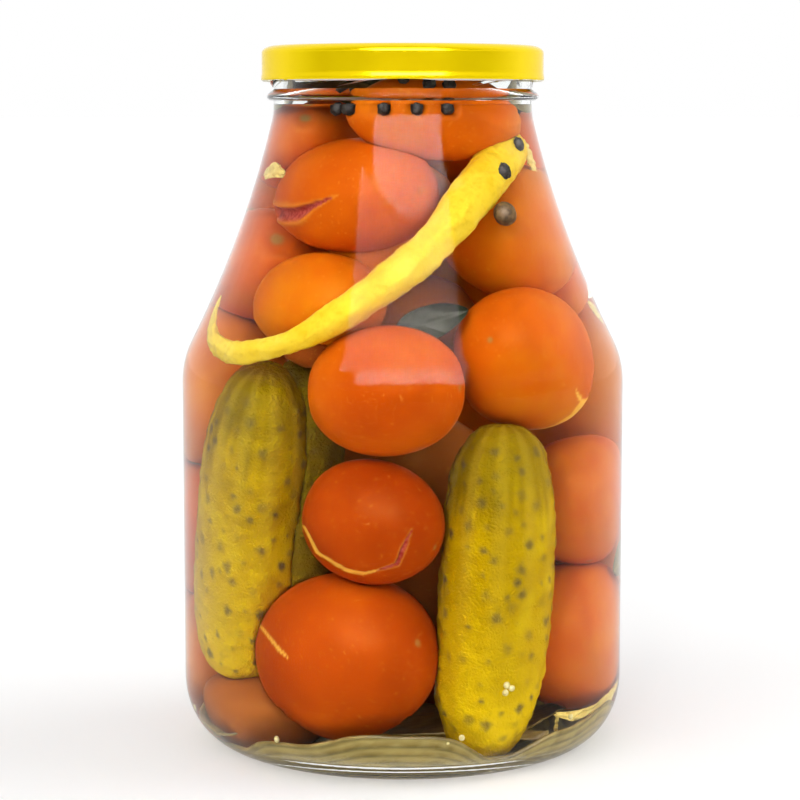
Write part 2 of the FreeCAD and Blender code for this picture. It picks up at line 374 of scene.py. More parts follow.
def settle(fruits, rounds=500, spare=0.1 * MM, longest_step=2.5 * MM):
    """Moves the fruits that aren't held until none of them presses into another or the wall."""
    ceiling = FILL_LEVEL + 1.0 * MM
    for _ in range(rounds):
        groups = [f.balls() for f in fruits]
        centres = np.concatenate([g[0] for g in groups])
        sizes = np.concatenate([g[1] for g in groups])
        owner = np.concatenate([np.full(len(g[1]), i) for i, g in enumerate(groups)])
        apart = centres[:, None, :] - centres[None, :, :]
        far = np.linalg.norm(apart, axis=2)
        press = sizes[:, None] + sizes[None, :] + spare - far
        press[(owner[:, None] == owner[None, :]) | (press < 0)] = 0.0
        push = (apart / np.maximum(far, TINY)[:, :, None]) * press[:, :, None] * 0.4
        moves = np.zeros((len(fruits), 3))
        np.add.at(moves, owner, push.sum(axis=1))
        for index, fruit in enumerate(fruits):
            if fruit.held:
                continue
            fruit.centre = fruit.centre + np.clip(moves[index], -longest_step, longest_step)
            for ball, size in zip(*fruit.balls()):
                radius = math.hypot(ball[0], ball[1])
                outward = np.array([ball[0], ball[1], 0.0]) / max(radius, TINY)
                height = min(max(ball[2], FLOOR_LEVEL + 1 * MM), FILL_LEVEL)
                radius = min(radius, float(bore_radius(height)) - 1 * MM)
                away, way = wall_distance(radius, height)
                way = outward * way[0] + UP * way[1]
                beyond = (ball - outward * radius - UP * height) @ way
                short = size + spare + beyond - away
                if short > 0:
                    fruit.centre = fruit.centre - way * short * 0.9
                fruit.centre[2] -= max(0.0, ball[2] + size - ceiling)


class Rope:
    """A tapered tube along a line of points, such as the hot pepper."""

    def __init__(self, line, radii):
        self.line, self.radii = line, radii
        self.centre = line.mean(axis=0)
        self.reach = np.linalg.norm(line - self.centre, axis=1).max() + radii.max()

    def depth(self, points):
        """1 on the surface, less inside and more outside."""
        nearest = np.full(len(points), 1e9)
        for spot, radius in zip(self.line, self.radii):
            nearest = np.minimum(nearest, np.linalg.norm(points - spot, axis=1) / radius)
        return nearest


def press_together(points, fruit, others, ropes=()):
    """Flattens a fruit where it meets its neighbours, a pepper, the wall and the floor."""
    slack = WALL_ROOM / float(np.min(fruit.half))
    for other in [*others, *ropes]:
        stiff = isinstance(other, Rope)
        reach = other.reach if stiff else other.half.max()
        if other is fruit or np.linalg.norm(other.centre - fruit.centre) > fruit.half.max() + reach:
            continue
        depth = other.depth(points)
        inside = depth < 1.0 + slack
        if not stiff:
            inside &= depth < fruit.depth(points)
        touched = np.where(inside)[0]
        if not len(touched):
            continue
        spot = points[touched]
        low, high = np.zeros(len(touched)), np.ones(len(touched))
        anchor = fruit.centre
        if fruit.kind == "gherkin":
            along = (spot - fruit.centre) @ fruit.axes[2]
            anchor = fruit.centre + np.outer(along, fruit.axes[2]) * 0.92
        for _ in range(12):
            share = (low + high) / 2
            tried = anchor + (spot - anchor) * share[:, None]
            bound = 1.0 + slack if stiff else fruit.depth(tried) + slack
            clear = other.depth(tried) > bound
            low, high = np.where(clear, share, low), np.where(clear, high, share)
        points[touched] = anchor + (spot - anchor) * low[:, None]
    within_wall(points, WALL_ROOM)
    bed = floor_height(np.hypot(points[:, 0], points[:, 1])) + 1.0 * MM
    points[:, 2] = np.maximum(points[:, 2], bed)
    return points


# ---------------------------------------------------------------- node helpers

WHITE = (1.0, 1.0, 1.0)
BLACK = (0.0, 0.0, 0.0)


class Nodes:
    """A material's or world's node tree, with short calls to add and link nodes."""

    def __init__(self, owner):
        owner.use_nodes = True
        self.owner = owner
        self.tree = owner.node_tree
        self.tree.nodes.clear()

    def add(self, kind, **inputs):
        """A node with its inputs given by name or as in0, in1 and so on, and settings as _name."""
        node = self.tree.nodes.new("ShaderNode" + kind)
        for key, value in inputs.items():
            if key.startswith("_"):
                setattr(node, key[1:], value)
                continue
            socket = node.inputs[int(key[2:]) if key[2:].isdigit() else key]
            if isinstance(value, bpy.types.Node):
                value = value.outputs[0]
            if isinstance(value, bpy.types.NodeSocket):
                self.tree.links.new(value, socket)
            else:
                socket.default_value = (*value, 1.0) if isinstance(value, tuple) else value
        return node

    def output(self, kind="OutputMaterial", **sockets):
        """Ends the tree, and gives back the material or world that it belongs to."""
        self.add(kind, **sockets)
        return self.owner

    def math(self, operation, a, b=0.0, clamp=False):
        return self.add("Math", _operation=operation, _use_clamp=clamp, in0=a, in1=b)

    def span(self, source, from_low, from_high, to_low, to_high):
        return self.add("MapRange", in0=source, in1=from_low, in2=from_high, in3=to_low, in4=to_high)

    def value(self, name):
        """A value that the mesh's points carry."""
        return self.add("Attribute", _attribute_name=name).outputs["Fac"]

    def place(self):
        return self.add("TexCoord").outputs["Object"]

    def noise(self, scale, detail=4.0, roughness=0.5):
        return self.add("TexNoise", Scale=scale, Detail=detail, Roughness=roughness, Vector=self.place())

    def ramp(self, factor, *stops, smooth=True):
        """Colours that follow a factor, each stop with its position and colour."""
        node = self.add("ValToRGB", Fac=factor)
        node.color_ramp.interpolation = "EASE" if smooth else "LINEAR"
        while len(node.color_ramp.elements) < len(stops):
            node.color_ramp.elements.new(0.5)
        for element, (position, colour) in zip(node.color_ramp.elements, stops):
            element.position = position
            element.color = (*colour, 1.0)
        return node

    def mask(self, source, low, high, most):
        """A share that rises from 0 to most while a source goes from low to high."""
        return self.math("MULTIPLY", self.ramp(source, (low, BLACK), (high, WHITE)), most)

    def mix(self, factor, a, b):
        """Two colours mixed by a factor, or by the named value of the mesh's points."""
        factor = self.value(factor) if isinstance(factor, str) else factor
        return self.add("Mix", _data_type="RGBA", in0=factor, in6=a, in7=b).outputs[2]

    def bump(self, height, strength, distance, **below):
        return self.add("Bump", Strength=strength, Distance=distance, Height=height, **below)

    def skin(self, colour, relief, strength, depth, roughness, specular=0.5, tint=WHITE, metallic=0.0):
        """Ends a material as a plain surface whose bump follows a relief."""
        shader = self.add("BsdfPrincipled", Roughness=roughness, Metallic=metallic, **{
            "Base Color": colour, "Specular IOR Level": specular, "Specular Tint": tint,
            "Normal": self.bump(relief, strength, depth)})
        return self.output(Surface=shader)


def material(name):
    return Nodes(bpy.data.materials.new(name))


# ---------------------------------------------------------------- glass, brine and lid


def clear_shaders(nodes, tint, index, roughness, normal):
    """Refraction, reflection and the share that is reflected, at an index of refraction."""
    bend = nodes.add("BsdfRefraction", Color=tint, Roughness=0.0, IOR=index, Normal=normal)
    gloss = nodes.add("BsdfGlossy", Color=WHITE, Roughness=roughness, Normal=normal)
    return bend, gloss, nodes.add("Fresnel", IOR=index, Normal=normal)


def lamp_clear(nodes, shader):
    """Lets lamplight straight through a clear shader, so that what is behind it is lit."""
    shadow = nodes.add("LightPath").outputs["Is Shadow Ray"]
    return nodes.add("MixShader", in0=shadow, in1=shader, in2=nodes.add("BsdfTransparent", Color=WHITE))


def glass_material():
    """Clear glass, a little uneven, that reflects less head-on than real glass."""
    nodes = material("clear_glass")
    swell = nodes.bump(nodes.noise(38.0, detail=1.0, roughness=0.3), 0.10, 0.0012)
    normal = nodes.bump(nodes.noise(420.0, detail=2.0), 0.02, 0.0002, Normal=swell)
    bend, gloss, share = clear_shaders(nodes, (0.985, 0.995, 0.99), 1.5, 0.02, normal)
    outer = nodes.math("MULTIPLY", nodes.math("SUBTRACT", share, 0.0385), 1.3, clamp=True)
    inner = nodes.math("DIVIDE", nodes.math("SUBTRACT", share, 0.06), 0.94, clamp=True)
    back = nodes.add("NewGeometry").outputs["Backfacing"]
    glass = nodes.add("MixShader", in0=nodes.span(back, 0.0, 1.0, outer, inner), in1=bend, in2=gloss)
    return nodes.output(Surface=lamp_clear(nodes, glass))


def brine_material():
    nodes = material("brine")
    normal = nodes.bump(nodes.noise(30.0, detail=1.0, roughness=0.3), 0.06, 0.0008)
    bend, gloss, share = clear_shaders(nodes, (1.0, 0.995, 0.975), 1.34, 0.0, normal)
    share = nodes.math("DIVIDE", nodes.math("SUBTRACT", share, 0.03), 0.97, clamp=True)
    clear = nodes.add("MixShader", in0=share, in1=bend, in2=gloss)
    haze = nodes.add("VolumeAbsorption", Color=(0.93, 0.84, 0.52), Density=4.0)
    return nodes.output(Surface=lamp_clear(nodes, clear), Volume=haze)


def brine_piece():
    """The brine, turned a little way into the wall, with its surface drawn up at the glass."""
    sides, bite = 192, 0.25 * MM
    edge, rise = 3.0 * MM, 0.9 * MM
    bend_end = FLOOR_LEVEL + 18 * MM
    heights = np.concatenate([np.linspace(FLOOR_LEVEL, bend_end, 40)[1:],
                              np.linspace(bend_end, FILL_LEVEL + rise, 130)[1:]])
    outline = [(float(r), float(floor_height(r)) - bite) for r in np.linspace(0, CROWN_EDGE, 24)]
    outline += [(float(bore_radius(h)) + bite, h) for h in heights]
    top_radius = float(bore_radius(FILL_LEVEL)) + bite
    for share in np.linspace(0, 1, 12)[1:]:
        outline.append((top_radius - edge * share, FILL_LEVEL + rise * (1 - share) ** 2.2))
    for share in np.linspace(0.75, 0.0, 4):
        outline.append(((top_radius - edge) * share, FILL_LEVEL))
    turns = 2 * np.pi * np.arange(sides) / sides
    points = [(0.0, 0.0, outline[0][1])]
    for radius, height in outline[1:-1]:
        points += [(radius * math.cos(t), radius * math.sin(t), height) for t in turns]
    points.append((0.0, 0.0, outline[-1][1]))
    faces = shell_faces(len(outline) - 2, sides, flip=True)
    piece = mesh_piece("brine_body", points, faces, brine_material(), "brine")
    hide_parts("brine")


def lid_material():
    """Yellow lacquer outside and pale inside, told apart by height and by what faces down."""
    nodes = material("yellow_lacquer")
    tone = nodes.noise(60.0, detail=3.0)
    yellow = nodes.ramp(tone, (0.3, (0.97, 0.70, 0.0)), (0.7, (1.0, 0.745, 0.0)))
    place = nodes.add("SeparateXYZ", Vector=nodes.place())
    facing = nodes.add("SeparateXYZ", Vector=nodes.add("NewGeometry").outputs["Normal"])
    under = nodes.math("LESS_THAN", facing.outputs["Z"], -0.5)
    low = nodes.math("LESS_THAN", place.outputs["Z"], JAR_HIGH.z + 1.1 * MM)
    colour = nodes.mix(nodes.math("MULTIPLY", under, low), yellow, (0.80, 0.79, 0.74))
    rough = nodes.math("ADD", nodes.math("MULTIPLY", tone, 0.06), 0.11)
    return nodes.skin(colour, nodes.noise(900.0, detail=2.0), 0.05, 0.0002, rough, 0.2, (1.0, 0.9, 0.4), 0.36)


def seal_material():
    nodes = material("seal_compound")
    tone = nodes.noise(200.0)
    colour = nodes.ramp(tone, (0.3, (0.70, 0.67, 0.60)), (0.7, (0.78, 0.75, 0.68)))
    return nodes.skin(colour, tone, 0.1, 0.0003, 0.5)


def dress(node, made):
    """Gives a CAD node its material."""
    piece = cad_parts[node]
    piece.data.materials.clear()
    piece.data.materials.append(made)
    piece.data.shade_smooth()


# ---------------------------------------------------------------- tomatoes


def tomato_material():
    nodes = material("tomato_skin")
    uneven = nodes.span(nodes.noise(38.0, detail=3.0), 0.25, 0.75, -0.24, 0.24)
    patches = nodes.math("ADD", uneven, nodes.value("ripe"))
    colour = nodes.ramp(patches, (0.0, (0.74, 0.24, 0.004)), (0.35, (0.66, 0.125, 0.003)),
                        (0.65, (0.52, 0.070, 0.002)), (1.0, (0.38, 0.042, 0.001)), smooth=False)
    streaks = nodes.mask(nodes.noise(900.0, detail=2.0), 0.60, 0.78, 0.30)
    colour = nodes.mix(streaks, colour, (0.86, 0.36, 0.04))
    colour = nodes.mix("pale", colour, (0.93, 0.54, 0.07))
    flesh = nodes.ramp(nodes.noise(600.0, detail=3.0), (0.3, (0.32, 0.025, 0.02)), (0.7, (0.58, 0.11, 0.08)))
    colour = nodes.mix("flesh", colour, flesh)
    # Painted shade: besides the real stem scar and blossom end, this brown darkens whole tomatoes that lie in
    # shadow
    colour = nodes.mix("scar", colour, (0.40, 0.22, 0.05))
    return nodes.skin(colour, nodes.noise(500.0, detail=3.0), 0.10, 0.0003, 0.35, 0.03, (1.0, 0.55, 0.15))


def line_along(stops, count=60):
    """Points spread evenly along straight runs between stops, with any further values."""
    stops = np.array(stops, float)
    steps = np.concatenate([[0], np.cumsum(np.linalg.norm(np.diff(stops[:, :2], axis=0), axis=1))])
    shares = np.linspace(0, steps[-1], count)
    return np.stack([np.interp(shares, steps, stops[:, i]) for i in range(stops.shape[1])], axis=1)


def split_skin(points, normals, fruit, stops, kind):
    """Opens a split, a scratch or a loose edge along stops on the side that faces the front.

    Each stop is a share of the fruit's width and height from its middle, with a width in mm.
    """
    wide, high = (math.sqrt(sum((fruit.half[i] * fruit.axes[i][way]) ** 2 for i in range(3)))
                  for way in (0, 2))
    path = line_along(stops)
    front = normals[:, 1] < 0.15
    flat = (points - fruit.centre)[:, [0, 2]]
    target = path[:, :2] * (wide, high)
    away = np.linalg.norm(flat[:, None, :] - target[None, :, :], axis=2)
    width = np.maximum(path[away.argmin(axis=1), 2] * MM, 0.05 * MM)
    share = np.where(front, away.min(axis=1) / width, 9.0)
    inside = np.clip(1 - share**2, 0, 1)
    lip = bell(share - 1.25, 0.45)
    middle_rise, lip_rise = {"split": (-1.3, 0.35), "scratch": (-0.25, 0.12), "loose": (0.45, 0.0)}[kind]
    points += normals * ((middle_rise * inside + lip_rise * lip) * np.minimum(width, 1.6 * MM))[:, None]
    return np.clip(inside * 2.2, 0, 1), lip


def tomato(name, fruit, others, ropes, made, marks=()):
    """A slightly ribbed, dimpled tomato, finer where its skin has marks."""
    rings, sides = (130, 166) if marks else (66, 80) if fruit.held else (46, 58)
    rng = random.Random(fruit.seed)
    polar, turn, ways, faces = globe(rings, sides)
    egg = rng.uniform(-0.05, 0.08)
    ribs = 0.012 * np.cos(5 * turn + rng.uniform(0, 6)) * bell(polar, 0.7)
    widen = 1 + egg * ways[:, 2] + ribs
    points = ways * np.stack([widen, widen, np.ones(len(ways))], axis=1)
    points *= (1 + 0.016 * waves(ways, rng, 5, 2.2) + 0.004 * waves(ways, rng, 6, 7.0))[:, None]
    points[:, 2] -= 0.075 * bell(polar, 0.24) - 0.015 * bell(np.pi - polar, 0.1)  # dimples at both ends
    # The stem scar and the blossom end are real; the fruit's brown is painted shade over a whole tomato that
    # lies in shadow
    scar = np.maximum(bell(polar, 0.11, 4) + 0.7 * bell(np.pi - polar, 0.05, 4), fruit.brown)
    points = (points * fruit.half) @ fruit.axes + fruit.centre
    points = press_together(points, fruit, others, ropes)
    normals = (ways / fruit.half) @ fruit.axes
    normals /= np.linalg.norm(normals, axis=1)[:, None]
    flesh, pale = np.zeros(len(points)), np.zeros(len(points))
    for kind, stops in marks:
        inside, lip = split_skin(points, normals, fruit, stops, kind)
        if kind == "split":
            flesh, pale = np.maximum(flesh, inside), np.maximum(pale, 0.22 * lip)
        else:
            pale = np.maximum(pale, inside * (0.9 if kind == "loose" else 0.8))
    ripe = np.full(len(points), rng.uniform(0.0, 0.4) if fruit.ripe is None else fruit.ripe)
    return mesh_piece(name, points, faces, made, "tomato_skin", scar=scar, flesh=flesh, pale=pale, ripe=ripe)


TOMATO_MARKS = {
    "tomato_high_left": [("split", [(-1.02, -0.32, 2.6), (-0.80, -0.24, 2.2), (-0.62, -0.08, 1.0),
                                    (-0.38, 0.08, 0.35), (-0.28, 0.12, 0.1)])],
    "tomato_middle": [("scratch", [(-0.98, -0.08, 0.4), (-0.81, -0.45, 0.6), (-0.40, -0.69, 0.7),
                                   (-0.16, -0.73, 0.6), (0.05, -0.66, 0.4)]),
                      ("split", [(0.05, -0.66, 0.3), (0.32, -0.56, 0.6), (0.41, -0.30, 0.7),
                                 (0.53, 0.0, 0.2)])],
    "tomato_low": [("scratch", [(-0.93, 0.30, 0.4), (-0.80, 0.14, 0.6), (-0.68, 0.04, 0.3)])],
    "tomato_right": [("loose", [(0.80, -0.40, 0.2), (0.83, -0.60, 0.6), (0.67, -0.80, 0.9),
                                (0.38, -0.94, 0.4), (0.15, -0.99, 0.2)])],
}


# ---------------------------------------------------------------- gherkins


def gherkin_material():
    nodes = material("gherkin_skin")
    patches = nodes.noise(55.0, detail=4.0)
    bright = nodes.ramp(patches, (0.3, (0.38, 0.23, 0.0)), (0.5, (0.49, 0.305, 0.0)),
                        (0.7, (0.63, 0.425, 0.0)))
    bright = nodes.mix("low", bright, (0.93, 0.63, 0.003))
    dull = nodes.ramp(patches, (0.3, (0.19, 0.12, 0.001)), (0.7, (0.31, 0.20, 0.002)))
    colour = nodes.mix("dull", bright, dull)
    streak = nodes.mask(nodes.value("streak"), 0.2, 0.9, 0.16)
    colour = nodes.mix(streak, colour, (0.62, 0.46, 0.05))
    fleck = nodes.mask(nodes.noise(330.0, detail=5.0, roughness=0.65), 0.52, 0.70, 0.35)
    colour = nodes.mix(fleck, colour, (0.34, 0.21, 0.003))
    colour = nodes.mix("spot", colour, (0.11, 0.08, 0.035))
    colour = nodes.mix("shade", colour, (0.12, 0.075, 0.008))
    return nodes.skin(colour, nodes.noise(1300.0, detail=2.0), 0.9, 0.0007, 0.25, 0.28, (1.0, 0.78, 0.0))


def warts(points, fruit, rng):
    """How far warts lift each point of a gherkin, and how dark their spots are."""
    spot = np.zeros(len(points))
    lift = 0.42 * MM * grain(points, 3.0 * MM, fruit.seed)
    lift += 0.20 * MM * grain(points, 1.4 * MM, fruit.seed + 5)
    mottle = grain(points, 0.9 * MM, fruit.seed + 3)
    tips = []
    for _ in range(1400):
        share, angle = rng.uniform(-0.92, 0.86), rng.uniform(0, 2 * math.pi)
        wide = (1 - abs(share) ** fruit.power) ** (1 / fruit.power)
        tip = np.array([wide * math.cos(angle), wide * math.sin(angle), share]) * fruit.half
        spacing = rng.uniform(3.2, 11.0) * MM
        if all(np.linalg.norm(tip - other) > spacing for other in tips):
            tips.append(tip)
    for tip in tips:
        away = np.linalg.norm(points - tip, axis=1)
        size = rng.uniform(0.7, 1.8) * MM
        lift += rng.uniform(0.35, 0.8) * MM * bell(away, 1.9 * size)
        lift -= rng.uniform(0.15, 0.4) * MM * bell(away, 0.6 * size)
        ragged = away * (1 + 0.5 * mottle)
        spot += rng.uniform(0.25, 0.95) * bell(ragged, 0.95 * size, 4)
    return lift, np.minimum(spot, 0.9)


def gherkin(name, fruit, others, ropes, made, rings=150, sides=120):
    """A blunt, slightly bent gherkin with ridges and warts, duller towards its upper end."""
    rng = random.Random(fruit.seed)
    polar, turn, _, faces = globe(rings, sides)
    along = np.cos(polar)
    across = (1 - np.abs(along) ** fruit.power) ** (1 / fruit.power)
    directions = np.stack([np.cos(turn), np.sin(turn), along * 2.2], axis=1)
    ridge = rng.uniform(0, 6)
    swell = 1 + 0.03 * np.cos(3 * turn + rng.uniform(0, 6)) + 0.010 * np.cos(10 * turn + ridge)
    swell += 0.012 * waves(directions, rng, 6, 3.0)
    points = np.stack([across * np.cos(turn) * swell, across * np.sin(turn) * swell, along], axis=1)
    points = points * fruit.half
    lift, spot = warts(points, fruit, rng)
    points += np.stack([np.cos(turn), np.sin(turn), 0.25 * along], axis=1) * lift[:, None]
    points[:, 0] += fruit.bend * bow(along)
    points = points @ fruit.axes + fruit.centre
    points = press_together(points, fruit, others, ropes)
    wander = grain(np.stack([turn * 3, turn * 0, along], axis=1), 0.5, fruit.seed + 9)
    dull = 1 / (1 + np.exp(-(along - fruit.dull_from + 0.25 * wander) / 0.06))
    streak = 0.5 + 0.5 * np.cos(10 * turn + ridge) * np.clip((along + 0.4) / 0.8, 0, 1)
    # Painted shade: the gherkin behind the others lies in shadow and is darkened all over
    shade = np.full(len(points), 0.65 if fruit.dull_from < 0 else 0.0)
    return mesh_piece(name, points, faces, made, "gherkin_skin", spot=spot, dull=dull, streak=streak * 0.9,
                      low=np.clip(-0.9 * along - 0.05, 0, 0.8), shade=shade)


# ---------------------------------------------------------------- the hot pepper


def hot_pepper_rope():
    """The pepper's centre line and its thickness, from the thick end to the curled tail."""
    knots = [(75, 184.0, 28.4, 6.6), (62, 179.8, 29.8, 7.2), (47, 174.4, 32.4, 6.8), (30, 166.5, 35.8, 6.2),
             (10.4, 153.0, 41.2, 5.9), (-10.9, 140, 47.2, 5.0), (-31.6, 127.5, 53.8, 3.9),
             (-50, 122.5, 57.4, 3.3), (-63, 123.3, 58.0, 2.9), (-70, 127.0, 57.4, 2.2),
             (-73.5, 132.5, 55.8, 1.5), (-74, 137.5, 54.0, 0.9)]
    stops = np.array([[*at(*place), thick * MM] for *place, thick in knots])
    padded = np.vstack([2 * stops[0] - stops[1], stops, 2 * stops[-1] - stops[-2]])
    line = []
    for i in range(1, len(padded) - 2):
        a, b, c, d = padded[i - 1:i + 3]
        for t in np.linspace(0, 1, 16, endpoint=False):
            line.append(0.5 * (2 * b + (c - a) * t + (2 * a - 5 * b + 4 * c - d) * t**2
                               + (3 * b - a - 3 * c + d) * t**3))
    line = np.array([*line, stops[-1]])
    return Rope(line[:, :3], line[:, 3])


def hot_pepper_material():
    nodes = material("hot_pepper_skin")
    colour = nodes.ramp(nodes.noise(90.0, detail=4.0), (0.3, (0.80, 0.53, 0.016)),
                        (0.5, (0.86, 0.615, 0.036)), (0.72, (0.89, 0.68, 0.085)))
    fleck = nodes.mask(nodes.noise(620.0, detail=4.0), 0.50, 0.68, 0.35)
    colour = nodes.mix(fleck, colour, (0.66, 0.41, 0.01))
    colour = nodes.mix("tip", colour, (0.93, 0.71, 0.022))
    colour = nodes.mix("cream", colour, (0.84, 0.74, 0.40))
    return nodes.skin(colour, nodes.noise(420.0, detail=4.0), 0.55, 0.0008, 0.3, 0.12, (1.0, 0.78, 0.05))


def hot_pepper(rope, made, sides=60):
    """The pepper along its rope: slightly three-sided, lumpy, blunt at one end and sharp at the other."""
    rows = finer(np.hstack([rope.line, rope.radii[:, None]]), 2)
    line, radii = rows[:, :3], rows[:, 3]
    run, ahead = ahead_along(line)
    radii = radii * (1 - 0.06 * np.cos(run / (9 * MM) + 1.0) + 0.05 * np.sin(run / (4.3 * MM)))
    blunt = np.sqrt(np.clip(1 - ((radii[0] - run) / radii[0]).clip(0) ** 2, 0, 1))
    sharp = np.sqrt(np.clip((run[-1] - run) / (3 * radii[-1]), 0, 1))
    radii = radii * np.minimum(blunt, sharp).clip(0.02, 1)
    out = line * (1, 1, 0)
    out -= ahead * (out * ahead).sum(axis=1)[:, None]
    out /= np.linalg.norm(out, axis=1)[:, None]
    turns, far = 2 * np.pi * np.arange(sides) / sides, run[:, None]
    crease = 1 + 0.05 * np.cos(3 * turns + far / (30 * MM)) + 0.03 * np.cos(5 * turns - far / (14 * MM) + 1.3)
    radial = radii[:, None] * crease
    points = (line[:, None] + out[:, None] * (0.92 * radial * np.cos(turns))[:, :, None]
              + np.cross(ahead, out)[:, None] * (radial * np.sin(turns))[:, :, None]).reshape(-1, 3)
    lumps = 0.42 * MM * grain(points, 3.4 * MM, 4) + 0.20 * MM * grain(points, 1.4 * MM, 8)
    outward = points - np.repeat(line, sides, axis=0)
    length = np.linalg.norm(outward, axis=1)
    lumps *= np.clip(length / (2 * MM), 0, 1) / np.maximum(length, TINY)
    points += outward * lumps[:, None]
    within_wall(points, WALL_ROOM)
    points = np.vstack([line[0], points, line[-1]])
    tips = np.repeat(bell(run[-1] - run, 9 * MM), sides)
    return mesh_piece("hot_pepper", points, shell_faces(len(line), sides, flip=True), made, "hot_pepper_skin",
                      tip=[0.0, *tips, 1.0])


# ---------------------------------------------------------------- spices, seeds and leaves


def spice_material(name, low, high, pitch):
    nodes = material(name)
    colour = nodes.ramp(nodes.noise(pitch, detail=4.0), (0.35, low), (0.68, high))
    return nodes.skin(colour, nodes.noise(pitch * 1.6, detail=3.0), 0.4, 0.0003, 0.55, 0.15)


def grains(name, spots, made, slot, creases, rings=22, sides=30):
    """Many small balls in one mesh; each spot has a place in metres and a radius in mm."""
    rng = random.Random(len(name))
    _, _, ways, faces = globe(rings, sides)
    parts = []
    for index, (place, radius) in enumerate(spots):
        lump = 1 + creases * grain(ways, 0.42, 11 + index) + 0.6 * creases * grain(ways, 0.2, 31 + index)
        stretch = np.array([rng.uniform(0.92, 1.06) for _ in range(3)])
        parts.append((ways * lump[:, None] * stretch * radius * MM + place, faces))
    return mesh_piece(name, *merged(parts), made, slot)


def floating_corns():
    """Peppercorns that float at the brine's surface by the wall of the neck."""
    rng = random.Random(61)
    corns = []
    for angle, out in [(-33, 35.6), (-26.5, 35.6), (-9.5, 35.4), (6.5, 35.6), (21.5, 35.6), (68, 35.4),
                       (100, 30.0), (150, 31.5), (205, 33.0), (250, 32.0), (238, 24.0)]:
        size = rng.uniform(1.75, 2.3)
        corns.append((at(angle, FILL_LEVEL / MM - 0.35 * size, out - size), size))
    return corns


def by_wall(*balls):
    """Places at the wall for balls that each have an angle, a height and a radius in mm."""
    return [(at_wall(*ball), ball[2]) for ball in balls]


def loose_spices(top):
    """Peppercorns, allspice berries and mustard seeds; a few peppercorns lie on the top tomato."""
    black = spice_material("peppercorn", (0.012, 0.010, 0.008), (0.05, 0.042, 0.034), 700.0)
    brown = spice_material("allspice", (0.085, 0.045, 0.014), (0.20, 0.12, 0.045), 600.0)
    pale = spice_material("mustard_seed", (0.78, 0.66, 0.26), (0.92, 0.82, 0.45), 900.0)
    corns = by_wall((47.3, 175.0, 2.6), (62, 182.6, 2.2)) + floating_corns()
    for way in (-0.1, -0.75, 0.6), (0.25, -0.7, 0.62), (-0.45, -0.6, 0.6):
        corns.append((top.on_skin(way, 1.6 * MM), 1.9))
    corns += by_wall((140, 92, 2.3), (196, 138, 2.4), (225, 22, 2.3))
    grains("peppercorns", corns, black, "dark_spice", 0.16)
    berries = by_wall((44.0, 162.6, 3.7), (171, 100, 3.4), (-128, 132, 3.5))
    grains("allspice_berries", berries, brown, "dark_spice", 0.05)
    seeds = by_wall((27.6, 29.3, 1.0), (29.0, 28.3, 0.95), (27.2, 27.2, 0.95),
                    (15.5, 15.2, 0.9), (11.8, 14.4, 0.9), (50, 16.5, 0.9), (-36, 12.5, 0.9))
    rng = random.Random(62)
    for _ in range(22):
        seeds.append((on_floor(rng.uniform(70, 290), 60 * math.sqrt(rng.uniform(0.1, 1.0)), 1.0),
                      rng.uniform(0.85, 1.05)))
    grains("mustard_seeds", seeds, pale, "pale_seed", 0.05, rings=12, sides=16)


def leaf_material():
    nodes = material("leaf")
    tone = nodes.noise(160.0, detail=4.0)
    colour = nodes.ramp(tone, (0.3, (0.23, 0.155, 0.03)), (0.7, (0.40, 0.285, 0.08)))
    colour = nodes.mix(nodes.math("MULTIPLY", nodes.value("vein"), 0.6), colour, (0.52, 0.42, 0.15))
    # Painted shade: darkens leaves that show in the gaps between the fruits and in the neck under the lid,
    # and the creases between the folds of the rim
    colour = nodes.mix("dark", colour, (0.030, 0.040, 0.022))
    return nodes.skin(colour, nodes.noise(500.0, detail=3.0), 0.3, 0.0004, 0.45, 0.15)


def blade(length, width, curl, seed, rows=60, columns=32, thick=0.35):
    """A leaf along X in mm, with veins raised on a wavy blade: points, faces and veins."""
    rng = random.Random(seed)
    along, across = np.meshgrid(np.linspace(0, 1, rows), np.linspace(-1, 1, columns), indexing="ij")
    half = width / 2 * np.sin(np.pi * along**0.85) ** 0.75 + 0.35
    x = length * (along - 0.5)
    y = half * across
    start, second = rng.uniform(0, 6), rng.uniform(0, 6)
    z = curl * across**2 * np.sin(np.pi * along) + 0.9 * np.sin(along * 9 + start) * across**2
    z += 0.7 * np.sin(across * 3 + along * 6 + second)
    side = np.abs(y)
    slant = along * length - side * 1.1
    ribs = stripes(slant / 5.2, 0.10) * np.clip(side / 1.5, 0, 1)
    vein = np.clip(np.maximum(0.75 * ribs, bell(side, 0.55)), 0, 1)
    points = [np.stack([x, y, height], axis=2).reshape(-1, 3)
              for height in (z + thick / 2 + 0.25 * vein, z - thick / 2)]
    return np.vstack(points), sheet_faces(rows, columns), np.concatenate([vein.ravel(), 0.5 * vein.ravel()])


def lay(points, place, turn, tip, roll):
    """Rolls points in mm about X, tips them up, turns them about Z and moves them to a place in metres."""
    turned = Euler([math.radians(angle) for angle in (roll, -tip, turn)], "XYZ").to_matrix()
    return points * MM @ np.array(turned).T + place


def leaf_reach(turns, rim, rng):
    """How far the large leaf reaches at each angle: wavy, with a low lobe and wider and narrower parts."""
    for size, count in (3.2, 2), (1.8, 5), (0.9, 13):
        rim = rim + size * MM * np.sin(count * turns + rng.uniform(0, 6))
    for size, angle, spread, power in (-13, 205, 0.42, 2), (4.5, 296, 1.0, 4), (-6.5, 299, 0.2, 2), \
            (-3.5, 250, 0.25, 2):
        rim = rim + size * MM * bell(turns - math.radians(angle), spread, power)
    return rim


